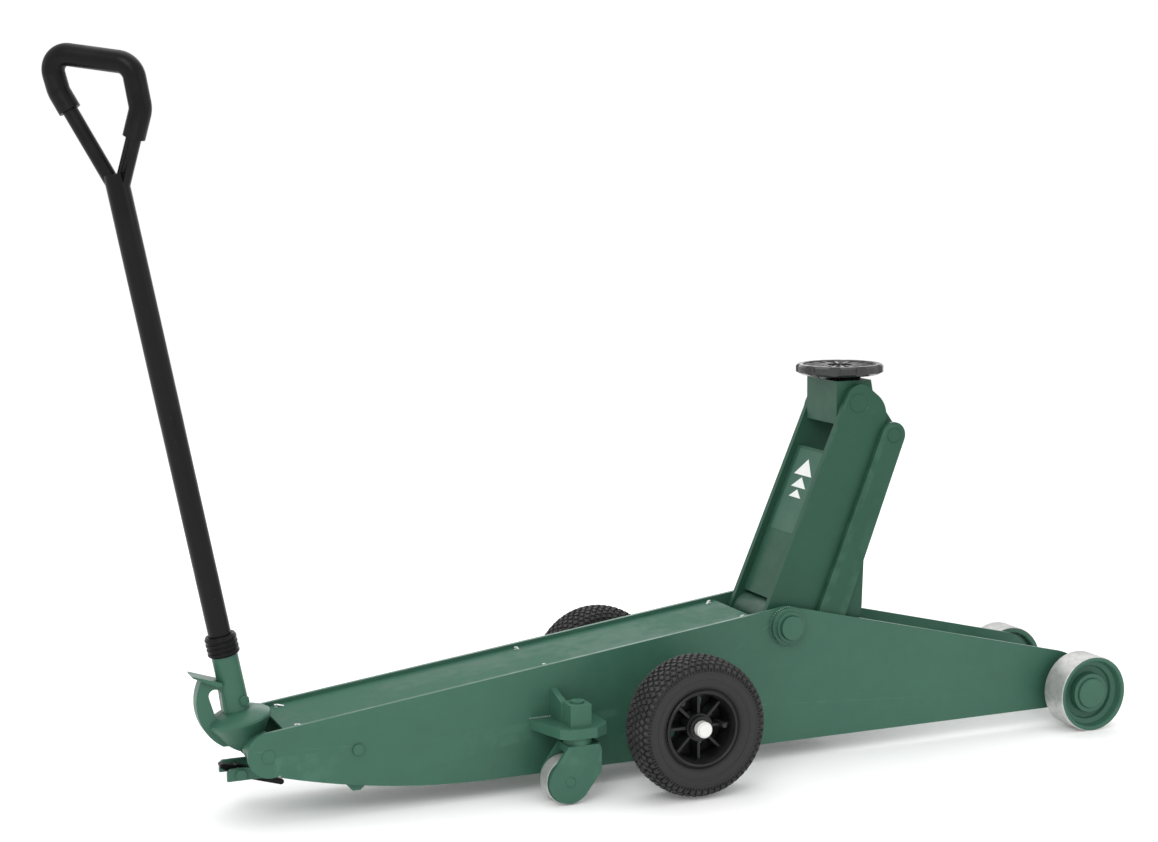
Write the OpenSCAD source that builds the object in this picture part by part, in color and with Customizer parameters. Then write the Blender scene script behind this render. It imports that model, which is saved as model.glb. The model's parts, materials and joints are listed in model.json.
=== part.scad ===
// Long-frame hydraulic trolley jack, with its lift arm raised.
// Millimetres. +X points to the front rollers, +Z up, the floor is Z = 0.
// Shapes are laid out from the lift arm's pivot shaft, then moved to the middle of the jack.

/* [Frame] */
// Width of the frame over its two side plates
frame_w = 188; // [186:1:190]
// Thickness of a side plate
plate_t = 8; // [7:0.5:8]
// Height of the lift arm's pivot shaft
pivot_z = 258; // [256:1:260]
// Distance from the pivot shaft back to the rear pin
rear_reach = 1002; // [998:1:1006]
// Height of the frame's flat bottom edge
belly_z = 34; // [32:1:36]
// How far the top cover lies below the upper edges of the side plates
cover_drop = 7; // [6:0.5:8]

/* [Lift arm] */
// Distance from the pivot shaft to the arm's top pin
arm_len = 444; // [442:1:446]
// Angle of the raised arm above level
arm_angle = 68.4; // [68:0.1:69]
// Width of the arm over its two plates
arm_w = 146; // [144:1:146]
// Thickness of an arm plate
arm_t = 12; // [10:0.5:12]
// Distance from the pivot shaft to the crank pin
crank_len = 150; // [149:0.5:151]
// How far the arm turns between raised and lowered
arm_travel = 84; // [80:1:84]

/* [Saddle] */
// Diameter of the saddle
saddle_d = 168; // [160:2:168]
// Height of the saddle's top above the top pin
saddle_rise = 70; // [70:1:74]

/* [Wheels] */
// Distance from the pivot shaft forward to the roller axle
front_reach = 645; // [640:1:650]
// Diameter of a front roller
roller_d = 150; // [148:1:152]
// Width of a front roller
roller_w = 60; // [56:1:62]
// Outer diameter of a pneumatic tyre
tyre_d = 256; // [250:1:258]
// Width of a pneumatic tyre
tyre_w = 84; // [80:1:86]
// Distance from the pivot shaft back to the pneumatic wheels
tyre_reach = 256; // [250:1:262]
// Diameter of a caster wheel
caster_d = 84; // [82:1:85]
// Distance from the pivot shaft back to the casters' king pins
caster_reach = 460; // [455:1:465]

/* [Handle] */
// How far the handle leans back from upright
handle_lean = 10.7; // [10:0.1:11]
// Outer diameter of the handle tube
handle_d = 40; // [38:1:40]
// Length from the rear pin to the top of the handle tube
handle_len = 1010; // [1000:5:1020]
// Turn of the hand loop round the handle
loop_turn = 35; // [25:1:45]

/* [Hidden] */
$fn = 96;

running = 0.05;          // radial clearance of a pin in its bore
eps = 0.01;

paint = [0.33, 0.49, 0.42];
dark_paint = [0.24, 0.38, 0.32];
steel = [0.62, 0.60, 0.58];
black = [0.09, 0.09, 0.10];

plate_out = frame_w / 2;
plate_in = plate_out - plate_t;

pivot = [0, pivot_z];
rear = [-rear_reach, 124];
rear_end = rear + [4, 2];
rear_end_r = 40;
pivot_nose_r = 37;
nose = [606, 80];
nose_r = 69;
toe_r = 16;
toe = [nose[0] + sqrt(pow(nose_r - toe_r, 2) - pow(nose[1] - belly_z - toe_r, 2)), belly_z + toe_r];
toe_turn = atan2(toe[1] - nose[1], toe[0] - nose[0]);
belly_start = -600;      // where the bottom edge starts to rise
belly_arc_r = 1450;

shaft_r = 22.5;
rear_pin_r = 12;
axle = [front_reach, roller_d / 2];
axle_r = 20;
roller_in = plate_out + 20;

arm_out = arm_w / 2;
arm_in = arm_out - arm_t;
top_pin_at = pivot + arm_len * [cos(arm_angle), sin(arm_angle)];
top_pin_r = 18;
crank_turn = -90 + arm_travel / 2;
crank_at = pivot + crank_len * [cos(crank_turn), sin(crank_turn)];
crank_pin_r = 16;

link_shift = [71.6, -64.2];     // from an arm pivot to the link pivot that goes with it
link_top_at = top_pin_at + link_shift;
link_low_at = pivot + link_shift;
link_r = 25;
link_pin_r = 14;
link_in = arm_out + 2;
link_out = plate_in - 1;
open_fit = 0.3;          // clearance where the closed linkage is opened

rod_z = 128;
rod_r = 22;
cylinder_r = 42;
cylinder_bore = 34;
cylinder_back = -600;
cylinder_front = -320;
crosshead_half = 37;

tyre_at = [-tyre_reach, tyre_d / 2 + 1];
tyre_mid = 226;
stub_r = 12;
rim_seat_r = 66;

caster_y = 166;
caster_x = -caster_reach;
caster_r = caster_d / 2;
caster_at = [caster_x - 24, caster_r];
caster_w = 34;
cheek_in = caster_w / 2 + 1.5;
cheek_t = 8;
fork_top = 106;
bracket_low = 119;
bracket_top = 137;
boss_top = 178;
king_r = 12;

handle_r = handle_d / 2;
socket_r = 23;
socket_foot = 50;
socket_head = 165;
handle_foot = rear + [-19.6, 2];
loop_tube_r = 13;
grip_r = 19;

lever_at = [rear[0] - 35, 81.5];
plunger_z = 94;
plunger_r = 9;
pump_back = -890;
pump_front = -790;
pump_bolt_at = [-843, 119];

loop_reach = 70;         // how far the hand loop's far corner stands off the handle's axis
back_x = handle_foot[0] - 1205 * sin(handle_lean) - loop_reach * cos(loop_turn) - grip_r;
mid_x = (front_reach + roller_d / 2 + back_x) / 2;

function unit(a) = [cos(a), sin(a)];

// Touching points of the straight edge that joins two circles, on the left from a to b
function edge(a, ra, b, rb) =
    let (d = b - a, turn = atan2(d[1], d[0]) + 90 - asin((ra - rb) / norm(d)))
    [a + ra * unit(turn), b + rb * unit(turn)];

top_edge = edge(rear_end, rear_end_r, pivot, pivot_nose_r);
top_slope = atan2(top_edge[1][1] - top_edge[0][1], top_edge[1][0] - top_edge[0][0]);
function top_z(x) = top_edge[0][1] + (x - top_edge[0][0]) * tan(top_slope);

// Moves a shape from the pivot shaft's frame to the jack's own frame
module place() {
    translate([-mid_x, 0, 0]) children();
}

// The left side is +Y, and the right side is its mirror image
module on(s) {
    mirror([0, s < 0 ? 1 : 0, 0]) children();
}

module both() {
    on(1) children();
    on(-1) children();
}

// Extrudes an outline drawn in X and Z from y0 to y1
module slab(y0, y1) {
    translate([0, y1, 0]) rotate([90, 0, 0]) linear_extrude(height = y1 - y0) children();
}

// Round bar along Y
module bar(at, r, y0, y1) {
    translate([at[0], y0, at[1]]) rotate([-90, 0, 0]) cylinder(r = r, h = y1 - y0);
}

// Ring along Y
module ring(at, r, bore, y0, y1) {
    difference() {
        bar(at, r, y0, y1);
        bar(at, bore, y0 - 1, y1 + 1);
    }
}

// Solid of revolution about an axle that runs along Y
module turned(at) {
    translate([at[0], 0, at[1]]) rotate([-90, 0, 0]) rotate_extrude() children();
}

// A disc lies just inside the straight edges that touch it
module disc(at, r) {
    translate(at) circle(r = r - 0.03);
}

// Flat bar with round ends
module strap(a, ra, b, rb) {
    up = edge(a, ra, b, rb);
    down = edge(b, rb, a, ra);
    disc(a, ra);
    disc(b, rb);
    polygon([down[1], down[0], up[1], up[0]]);
}

// Frame

module side_outline() {
    front_edge = edge(pivot, pivot_nose_r, nose, nose_r);
    toe_touch = nose + nose_r * unit(toe_turn);
    rise = [for (x = [rear_end[0] + 18 : 35 : belly_start])
        [x, belly_z + belly_arc_r - sqrt(pow(belly_arc_r, 2) - pow(x - belly_start, 2))]];
    disc(rear_end, rear_end_r);
    disc(pivot, pivot_nose_r);
    disc(toe, toe_r);
    intersection() {
        disc(nose, nose_r);
        polygon([nose - 200 * unit(toe_turn), nose + 200 * unit(toe_turn),
            nose + 300 * unit(toe_turn + 60), nose + 300 * unit(toe_turn + 120)]);
    }
    polygon(concat([rear_end], rise, [[belly_start, belly_z], [toe[0], belly_z], toe, toe_touch,
        front_edge[1], front_edge[0], top_edge[1], top_edge[0]]));
}

module side_plate(s) {
    color(paint) place() on(s) difference() {
        slab(plate_in, plate_out) side_outline();
        bar(pivot, shaft_r, plate_in - 1, plate_out + 1);
        bar(rear, rear_pin_r, plate_in - 1, plate_out + 1);
        bar(axle, axle_r, plate_in - 1, plate_out + 1);
        bar(tyre_at, stub_r, plate_in - 1, plate_out + 1);
        bar(pump_bolt_at, 7, plate_in - 1, plate_out + 1);
    }
}

// Strip that follows the top edge of the side plates
module top_strip(x0, x1, drop, h, y0, y1) {
    slab(y0, y1) polygon([[x0, top_z(x0) - drop], [x1, top_z(x1) - drop],
        [x1, top_z(x1) - drop - h], [x0, top_z(x0) - drop - h]]);
}

cover_t = 4;
cover_x0 = -968;
cover_x1 = -66;
screw_y = 72;
screw_xs = [cover_x0 + 22, -485, cover_x1 - 16];

module at_screws(r, low, high) {
    for (x = screw_xs, s = [-1, 1])
        translate([x, s * screw_y, top_z(x) - cover_drop]) rotate([0, -top_slope, 0])
            translate([0, 0, low]) cylinder(r = r, h = high - low, $fn = 32);
}

module top_cover() {
    color(paint) place() difference() {
        top_strip(cover_x0, cover_x1, cover_drop, cover_t, -plate_in, plate_in);
        at_screws(4, -20, 20);
    }
}

module cover_screws() {
    color(steel) place() {
        at_screws(4, -16, 0);
        at_screws(7.5, 0, 4.5);
    }
}

module cover_rails() {
    color(paint) place() difference() {
        both() top_strip(cover_x0 + 4, cover_x1 - 4, cover_drop + cover_t, 14, plate_in - 22, plate_in);
        at_screws(4, -30, 20);
    }
}

module tie_plates() {
    color(paint) place() {
        slab(-plate_in, plate_in) polygon([[-940, 74], [-940, 80], [-880, 80], [-880, 74]]);
        slab(-plate_in, plate_in) polygon([[-560, 36], [-560, 44], [-300, 44], [-300, 36]]);
        // Lug that hangs below the frame
        slab(-plate_in, -plate_in + 10) polygon([[-868, 74], [-868, 61], [-852, 43], [-838, 43], [-816, 62], [-816, 74]]);
    }
}

module front_axle() {
    color(steel) place() bar(axle, axle_r, -roller_in - 48, roller_in + 48);
}

module axle_collars() {
    color(paint) place() {
        both() ring(axle, 31, axle_r, plate_out, roller_in - 0.5);
        ring(axle, 29, axle_r, -plate_in, plate_in);
    }
}

module main_shaft() {
    color(paint) place() bar(pivot, shaft_r, -plate_out - 25, plate_out + 25);
}

module pivot_collars() {
    color(paint) place() both() {
        ring(pivot, 35, shaft_r, plate_out, plate_out + 11);
        ring(pivot, 29, shaft_r, plate_out + 11, plate_out + 18);
        ring(pivot, 34, shaft_r, arm_out + 0.4, plate_in);
    }
}

module link_anchor_pins() {
    color(steel) place() both() bar(link_low_at, link_pin_r, arm_out + 1.5, plate_in);
}

module stub_axles() {
    color(steel) place() both() {
        difference() {
            union() {
                bar(tyre_at, stub_r, plate_in, tyre_mid + 30);
                bar(tyre_at, 40, plate_out, plate_out + 8);
                bar(tyre_at, 20, plate_out, tyre_mid - 38);
            }
            for (a = [45 : 90 : 315])
                bar(tyre_at + 31 * unit(a), 4.5, plate_out - 1, plate_out + 9);
        }
    }
}

module axle_caps() {
    color("white") place() both() {
        turned(tyre_at) difference() {
            union() {
                square([14.5, tyre_mid + 40]);
                square([12, tyre_mid + 43]);
            }
            square([stub_r, tyre_mid + 30]);
            translate([-1, 0]) square([30, tyre_mid + 26]);
        }
    }
}

module bracket_outline() {
    polygon([[caster_x - 64, plate_out], [caster_x - 40, 184], [caster_x - 26, 196], [caster_x + 26, 198],
        [caster_x + 50, 182], [caster_x + 58, 160], [caster_x + 58, plate_out]]);
}

module caster_bracket(s) {
    boss = 20;
    color(paint) place() on(s) difference() {
        union() {
            translate([0, 0, bracket_low]) linear_extrude(height = bracket_top - bracket_low) bracket_outline();
            translate([caster_x - boss, caster_y - boss, bracket_top - eps])
                cube([2 * boss, 2 * boss, boss_top - bracket_top + eps]);
            // Gusset from the frame to the boss
            translate([caster_x - 22, 0, 0]) rotate([90, 0, 90]) linear_extrude(height = 12)
                polygon([[plate_out, bracket_top - eps], [caster_y - boss + 1, bracket_top - eps],
                    [caster_y - boss + 1, boss_top - 4], [plate_out, boss_top + 12]]);
        }
        translate([caster_x, caster_y, bracket_low - 1]) cylinder(r = king_r + running, h = 100);
    }
}

module rear_pin() {
    color(paint) place() bar(rear, rear_pin_r, -plate_out - 1.5, plate_out + 1.5);
}

module lever_bracket() {
    back = lever_at[0] - 24;
    color(paint) place() difference() {
        both() slab(28, 36) polygon([[back, 71], [-946, 71], [-940, 80], [-898, 80], [-898, 92],
            [back + 6, 92], [back, 87]]);
        bar(lever_at, 6, -40, 40);
    }
}

module lever_bolt() {
    color(steel) place() {
        bar(lever_at, 6, -36, 36);
        for (y = [-42, 36])
            translate([lever_at[0], y, lever_at[1]]) rotate([-90, 0, 0]) cylinder(r = 10.5, h = 6, $fn = 6);
    }
}

// Hydraulic unit

module pump_block() {
    color(dark_paint) place() difference() {
        translate([pump_back, -45, 81]) cube([pump_front - pump_back, 90, 77]);
        translate([pump_back - 1, 0, plunger_z]) rotate([0, 90, 0]) cylinder(r = plunger_r + running, h = 76);
        bar(pump_bolt_at, 7, -50, -25);
        bar(pump_bolt_at, 7, 25, 50);
    }
}

module pump_bolts() {
    color(paint) place() both() {
        bar(pump_bolt_at, 7, 25, plate_out);
        bar(pump_bolt_at, 10, plate_out, plate_out + 5);
    }
}

// Round part along X, centred on the piston rod
module along_rod(r, x0, x1) {
    translate([x0, 0, rod_z]) rotate([0, 90, 0]) cylinder(r = r, h = x1 - x0);
}

module oil_reservoir() {
    color(dark_paint) place() difference() {
        union() {
            along_rod(cylinder_r, pump_front, cylinder_back);
            translate([-700, 0, rod_z + cylinder_r - 4]) cylinder(r = 9, h = 10);
        }
        along_rod(cylinder_r - 5, pump_front + 5, cylinder_back - 5);
    }
}

module lift_cylinder() {
    color(dark_paint) place() difference() {
        along_rod(cylinder_r, cylinder_back, cylinder_front);
        along_rod(cylinder_bore, cylinder_back + 12, cylinder_front - 22);
        along_rod(rod_r + running, cylinder_front - 30, cylinder_front + 1);
    }
}

module piston_rod() {
    color(steel) place() {
        along_rod(cylinder_bore - running, cylinder_front - 55, cylinder_front - 25);
        along_rod(rod_r, cylinder_front - 26, crank_at[0] - crosshead_half);
    }
}

// The crank pin rises and falls in the crosshead's upright slot
module rod_crosshead() {
    slot = crank_pin_r + 6.5;
    low = pivot_z - crank_len - crank_pin_r - 3;
    high = crank_at[1] + crank_pin_r + 3;
    color(steel) place() slab(-38, 38) difference() {
        translate([crank_at[0] - crosshead_half, low - 14]) square([2 * crosshead_half, high - low + 28]);
        translate([crank_at[0] - slot, low]) square([2 * slot, high - low]);
    }
}

// Lift arm

arm_shoulder = top_pin_at + [11.8, -26];
arm_shoulder_r = 50;
arm_tip = top_pin_at + [4.8, 7];
arm_tip_r = 29;
arm_root_r = 42;
crank_eye_r = 38;

module arm_outline() {
    back = edge(pivot, arm_root_r, arm_tip, arm_tip_r);
    crown = edge(arm_tip, arm_tip_r, arm_shoulder, arm_shoulder_r);
    heel = edge(crank_at, crank_eye_r, pivot, arm_root_r);
    disc(pivot, arm_root_r);
    disc(arm_tip, arm_tip_r);
    disc(arm_shoulder, arm_shoulder_r);
    disc(crank_at, crank_eye_r);
    polygon([heel[1], heel[0], crank_at, crank_at + crank_eye_r * unit(-12), pivot + [174, 18],
        pivot + [179, 147], arm_shoulder + [arm_shoulder_r, 0], crown[1], crown[0], back[1], back[0]]);
}

module arm_plate(s) {
    color(paint) place() on(s) difference() {
        slab(arm_in, arm_out) arm_outline();
        bar(pivot, shaft_r + running, arm_in - 1, arm_out + 1);
        bar(top_pin_at, top_pin_r, arm_in - 1, arm_out + 1);
        bar(crank_at, crank_pin_r, arm_in - 1, arm_out + 1);
    }
}

module arm_hub() {
    color(dark_paint) place() ring(pivot, 38, shaft_r + running, -arm_in, arm_in);
}

// Draws in the arm's own directions: first along the arm, then towards its back
module arm_frame() {
    translate([pivot[0], pivot[1]]) rotate(arm_angle) children();
}

module arm_cover() {
    color(paint) place() slab(-arm_in, arm_in) arm_frame()
        polygon([[36, 28], [36, 22], [338, 13], [338, 19]]);
}

spreader_at = pivot + 250 * unit(arm_angle - 12);

module arm_spreader() {
    color(dark_paint) place() bar(spreader_at, 17, -arm_in, arm_in);
}

module crank_pin() {
    color(steel) place() bar(crank_at, crank_pin_r, -arm_out, arm_out);
}

module top_pin() {
    color(paint) place() bar(top_pin_at, top_pin_r, -arm_out - 1.5, arm_out + 1.5);
}

carrier_half = arm_in - 3;
carrier_top = 42;
stem_r = 20;
stem_foot = 21;

module saddle_carrier() {
    color(paint) place() difference() {
        union() {
            slab(-carrier_half, carrier_half) polygon([top_pin_at + [-39, -40], top_pin_at + [-39, carrier_top],
                top_pin_at + [36, carrier_top], top_pin_at + [40, 20], top_pin_at + [40, -40]]);
            both() slab(carrier_half - 22, carrier_half) {
                disc(link_top_at, 24);
                polygon([top_pin_at + [39, 22], link_top_at + 24 * unit(50), link_top_at + 24 * unit(-110),
                    top_pin_at + [20, -40], top_pin_at + [39, -10]]);
            }
        }
        bar(top_pin_at, top_pin_r + running, -80, 80);
        bar(link_top_at, link_pin_r, -80, 80);
        translate([top_pin_at[0], 0, top_pin_at[1] + stem_foot]) cylinder(r = stem_r + running, h = 60);
    }
}

module link_top_pin() {
    color(paint) place() bar(link_top_at, link_pin_r, -link_out - 1, link_out + 1);
}

module saddle() {
    top = saddle_rise;
    ribs = 16;
    lobes = 10;
    color(black) place() translate([top_pin_at[0], 0, top_pin_at[1]]) difference() {
        union() {
            rotate_extrude() polygon([[0, stem_foot + 1], [stem_r, stem_foot + 1], [stem_r, carrier_top + 0.4],
                [40, carrier_top + 0.4], [46, top - 21], [saddle_d / 2 - 10, top - 20], [saddle_d / 2, top - 15],
                [saddle_d / 2, top - 4], [saddle_d / 2 - 4, top], [saddle_d / 2 - 13, top],
                [saddle_d / 2 - 16, top - 9], [26, top - 12], [0, top - 12]]);
            for (i = [0 : ribs - 1])
                rotate(i * 360 / ribs) translate([24, -3, top - 13]) cube([saddle_d / 2 - 32, 6, 11]);
        }
        for (i = [0 : lobes - 1])
            rotate((i + 0.5) * 360 / lobes) translate([saddle_d / 2 + 12, 0, 0]) cylinder(r = 18, h = 100);
    }
}

module link(s) {
    color(paint) place() on(s) difference() {
        slab(link_in, link_out) strap(link_low_at, 30, link_top_at, link_r);
        bar(link_low_at, link_pin_r + running, link_in - 1, link_out + 1);
        bar(link_top_at, link_pin_r + open_fit, link_in - 1, link_out + 1);
    }
}

// Wheels

module front_roller(s) {
    r = roller_d / 2;
    y0 = roller_in;
    y1 = y0 + roller_w;
    color(steel) place() on(s) turned(axle) polygon([[axle_r + running, y0 + 4], [34, y0 + 4], [40, y0 + 16],
        [r - 14, y0 + 14], [r - 12, y0 + 2], [r - 10, y0], [r - 1.5, y0], [r, y0 + 1.5],
        [r, y1 - 1.5], [r - 1.5, y1], [r - 7, y1], [r - 9, y1 - 2], [r - 12, y1 - 15], [54, y1 - 18],
        [52, y1 - 24], [40, y1 - 24], [38.5, y1 - 9], [30, y1 - 9], [30, y1 - 14], [axle_r + running, y1 - 14]]);
}

module hub_cap(s) {
    y1 = roller_in + roller_w;
    color(paint) place() on(s) turned(axle)
        polygon([[0, y1 - 9], [22, y1 - 9], [22, y1 - 13.5], [30, y1 - 13.5], [30, y1 - 6], [28, y1 - 4], [0, y1 - 4]]);
}

module tyre_profile() {
    r = tyre_d / 2;
    bead = rim_seat_r;
    half = tyre_w / 2;
    difference() {
        union() {
            translate([(r + bead) / 2 + 1, tyre_mid]) intersection() {
                circle(r = half);
                square([r - bead + 20, 2 * half], center = true);
            }
            translate([bead, tyre_mid - 28]) square([20, 56]);
            polygon([[r - 26, tyre_mid - half + 3], [r - 10, tyre_mid - half + 8], [r - 2, tyre_mid - 26],
                [r, tyre_mid - 14], [r, tyre_mid + 14], [r - 2, tyre_mid + 26], [r - 10, tyre_mid + half - 8],
                [r - 26, tyre_mid + half - 3]]);
        }
        translate([r, tyre_mid - 60]) square([40, 120]);
        translate([bead - 60, tyre_mid - 60]) square([60, 120]);
        // Seats of the rim's two flanges
        for (y = [tyre_mid - 88, tyre_mid + 28])
            translate([bead - 60, y]) square([64.2, 60]);
        // Air space
        translate([(r + bead) / 2, tyre_mid]) circle(r = 24);
    }
}

module tyre(s) {
    color(black) place() on(s) turned(tyre_at) tyre_profile();
}

module rim(s) {
    color([0.13, 0.13, 0.14]) place() on(s) {
        turned(tyre_at) union() {
            polygon([[59, tyre_mid - 34], [70, tyre_mid - 34], [70, tyre_mid - 28], [rim_seat_r, tyre_mid - 28],
                [rim_seat_r, tyre_mid + 28], [70, tyre_mid + 28], [70, tyre_mid + 33], [67, tyre_mid + 35],
                [64, tyre_mid + 33], [61, tyre_mid + 26], [59, tyre_mid + 20]]);
            translate([stub_r + running, tyre_mid - 32]) square([9, 57]);
            translate([stub_r + running, tyre_mid - 32]) square([13, 50]);
        }
        difference() {
            for (i = [0 : 7])
                translate([tyre_at[0], tyre_mid - 24, tyre_at[1]]) rotate([0, i * 45, 0])
                    translate([20, 0, -2.5]) cube([40, 38, 5]);
            bar(tyre_at, 20, 150, 300);
        }
        difference() {
            bar(tyre_at, 59, tyre_mid - 24, tyre_mid - 18);
            bar(tyre_at, 20, 150, 300);
            for (i = [0 : 7])
                bar(tyre_at + 41 * unit(22.5 + i * 45), 8, 150, 300);
        }
    }
}

module caster_cheek() {
    disc(caster_at, 39);
    disc([caster_x + 26, fork_top - 10], 10);
    polygon([[caster_x - 27, fork_top], [caster_x + 26, fork_top], [caster_x + 36, fork_top - 10], [caster_x + 36, 56],
        caster_at + 39 * unit(-32), caster_at, caster_at + 39 * unit(150)]);
}

module caster_fork(s) {
    color(paint) place() on(s) translate([0, caster_y, 0]) {
        difference() {
            union() {
                for (m = [-1, 1])
                    on(m) slab(cheek_in, cheek_in + cheek_t) caster_cheek();
                translate([caster_x - 27, -cheek_in - 1, 92]) cube([63, 2 * cheek_in + 2, fork_top - 92]);
                translate([caster_x, 0, fork_top - eps]) cylinder(r = 26, h = bracket_low - fork_top - 0.4);
                translate([caster_x, 0, 92]) cylinder(r = king_r, h = boss_top + 4 - 92);
            }
            bar(caster_at, 9, -40, 40);
        }
    }
}

module caster_axle(s) {
    color(steel) place() on(s) translate([0, caster_y, 0])
        bar(caster_at, 9, -cheek_in - cheek_t - 1.5, cheek_in + cheek_t + 1.5);
}

module caster_wheel(s) {
    half = caster_w / 2;
    r = caster_r;
    color(steel) place() on(s) translate([0, caster_y, 0]) turned(caster_at)
        polygon([[9 + running, -half], [18, -half], [21, -half + 3], [r - 10, -half + 3], [r - 8, -half],
            [r - 1, -half], [r, -half + 1], [r, half - 1], [r - 1, half], [r - 8, half],
            [r - 10, half - 3], [21, half - 3], [18, half], [9 + running, half]]);
}

// Handle

// Places a shape on the handle's axis, with Z along it
module on_handle() {
    translate([handle_foot[0], 0, handle_foot[1]]) rotate([0, -handle_lean, 0]) children();
}

// Rounded seat that carries the handle's socket and leans with it
module bowl() {
    on_handle() rotate_extrude() polygon([[0, -2], [22, -2], [36, 12], [48, 31], [55, 42], [57, 47], [56, 51],
        [50, 56], [40, 61], [28, 65], [0, 66]]);
}

module handle_yoke() {
    roller = rear - [0, 30];
    color(paint) place() difference() {
        union() {
            bowl();
            both() bar(rear, 28, 16, plate_in - 4);
            slab(-16.5, 16.5) disc(rear, 16);
            slab(-12, 12) strap(rear, 16, roller, 11);
        }
        bar(rear, rear_pin_r + running, -100, 100);
        on_handle() translate([0, 0, socket_foot - 0.4]) cylinder(r = socket_r + running, h = 200);
    }
}

module handle_socket() {
    color(paint) place() on_handle() difference() {
        translate([0, 0, socket_foot]) cylinder(r = socket_r, h = socket_head - socket_foot);
        translate([0, 0, socket_foot + 5]) cylinder(r = handle_r, h = 200);
        socket_bolt_way() cylinder(r = 5, h = 60);
    }
}

bolt_up = 82;

module socket_bolt_way() {
    translate([0, 0, bolt_up]) rotate([0, 90, -62]) children();
}

module socket_bolt() {
    color(steel) place() on_handle() socket_bolt_way() {
        translate([0, 0, handle_r + 0.4]) cylinder(r = 5, h = 10);
        translate([0, 0, socket_r + 0.6]) cylinder(r = 9, h = 6.5, $fn = 6);
    }
}

// Foot pedal: a hook that rises from the yoke, bends over and comes down beside the socket
module foot_pedal() {
    outer = rear + [-13, 83];
    outer_r = 91.5;
    tip = rear + [-111, 136];
    neck = rear + [-68, 119];
    color(paint) place() difference() {
        union() {
            slab(-13, 13) difference() {
                intersection() {
                    disc(outer, outer_r);
                    polygon([rear + [-48, 4], rear + [-20, 30], rear + [-40, 119], neck, rear + [-96, 127],
                        rear + [-120, 60], rear + [-90, 4]]);
                }
                strap(rear + [-71.5, 96], 11, rear + [-64, 60], 8);
            }
            slab(-22, 22) polygon([tip, tip - [0, 3], neck - [0, 6], neck + [8, -6], neck + [8, 0]]);
        }
        bowl();
        on_handle() cylinder(r = socket_r + 0.2, h = 300);
    }
}

// Loop corners across and along the handle's axis, and the radius of each bend
loop_pts = [[-6, 990], [-66, 1158], [-loop_reach, 1224], [72, 1180], [70, 1106], [2, 978]];
loop_bends = [0, 40, 26, 30, 34, 0];

// Tube of straight runs through a list of corners in one plane; each run laps into the round bends
module bent_tube(pts, bends, r, first, last) {
    lap = 1;
    last_i = len(pts) - 1;
    function way(i) = (pts[i + 1] - pts[i]) / norm(pts[i + 1] - pts[i]);
    function angle_at(i) = acos(way(i - 1) * way(i));
    function cut(i) = i == 0 || i == last_i ? 0 : bends[i] * tan(angle_at(i) / 2);
    for (i = [first : last - 1]) {
        before = cut(i) > 0 ? lap : 0;
        after = cut(i + 1) > 0 ? lap : 0;
        a = pts[i] + (cut(i) - before) * way(i);
        run = norm(pts[i + 1] - pts[i]) - cut(i) - cut(i + 1) + before + after;
        translate([a[0], 0, a[1]]) rotate([0, atan2(way(i)[0], way(i)[1]), 0]) cylinder(r = r, h = run);
    }
    for (i = [first + 1 : last - 1]) {
        turn = cross(way(i - 1), way(i)) < 0 ? -1 : 1;
        a = pts[i] - cut(i) * way(i - 1);
        side = turn * [-way(i - 1)[1], way(i - 1)[0]];
        centre = a + bends[i] * side;
        start = atan2(-side[1], -side[0]);
        translate([centre[0], 0, centre[1]]) rotate([90, 0, 0])
            rotate(turn > 0 ? start : start - angle_at(i))
                rotate_extrude(angle = angle_at(i)) translate([bends[i], 0]) circle(r = r - 0.1, $fn = 48);
    }
}

module on_loop() {
    on_handle() rotate([0, 0, -loop_turn]) children();
}

module handle_tube() {
    color(black) place() on_handle() difference() {
        translate([0, 0, socket_foot + 6]) cylinder(r = handle_r, h = handle_len - socket_foot - 6);
        translate([0, 0, socket_foot + 10]) cylinder(r = handle_r - 3, h = handle_len - socket_foot - 20);
    }
}

module handle_collar() {
    color(black) place() on_handle() difference() {
        union() {
            translate([0, 0, socket_head + 1]) cylinder(r = 26, h = 36);
            for (i = [0 : 3])
                translate([0, 0, socket_head + 3 + i * 8.5]) cylinder(r = 28, h = 5);
        }
        translate([0, 0, socket_head]) cylinder(r = handle_r, h = 60);
    }
}

module handle_loop() {
    color(black) place() difference() {
        on_loop() bent_tube(loop_pts, loop_bends, loop_tube_r, 0, 5);
        on_handle() cylinder(r = handle_r, h = handle_len);
    }
}

module handle_grip() {
    from = loop_pts[0] + 0.8 * (loop_pts[1] - loop_pts[0]);
    to = loop_pts[5] + 0.66 * (loop_pts[4] - loop_pts[5]);
    pts = [from, loop_pts[1], loop_pts[2], loop_pts[3], loop_pts[4], to];
    color(black) place() on_loop() difference() {
        bent_tube(pts, loop_bends, grip_r, 0, 5);
        bent_tube(loop_pts, loop_bends, loop_tube_r, 0, 5);
    }
}

// Controls

module pump_plunger() {
    color(steel) place() {
        translate([rear[0] + 16, 0, plunger_z]) rotate([0, 90, 0]) cylinder(r = 13, h = 8);
        translate([rear[0] + 23, 0, plunger_z]) rotate([0, 90, 0]) cylinder(r = plunger_r, h = 137);
    }
}

module release_lever() {
    tongue = [rear[0] + 42, 52];
    heel = lever_at + [-27, 11];
    color(steel) place() difference() {
        slab(-9, 9) {
            strap(lever_at, 11, tongue, 5);
            strap(lever_at, 9, heel, 4);
        }
        bar(lever_at, 6 + running, -20, 20);
    }
}

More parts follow.
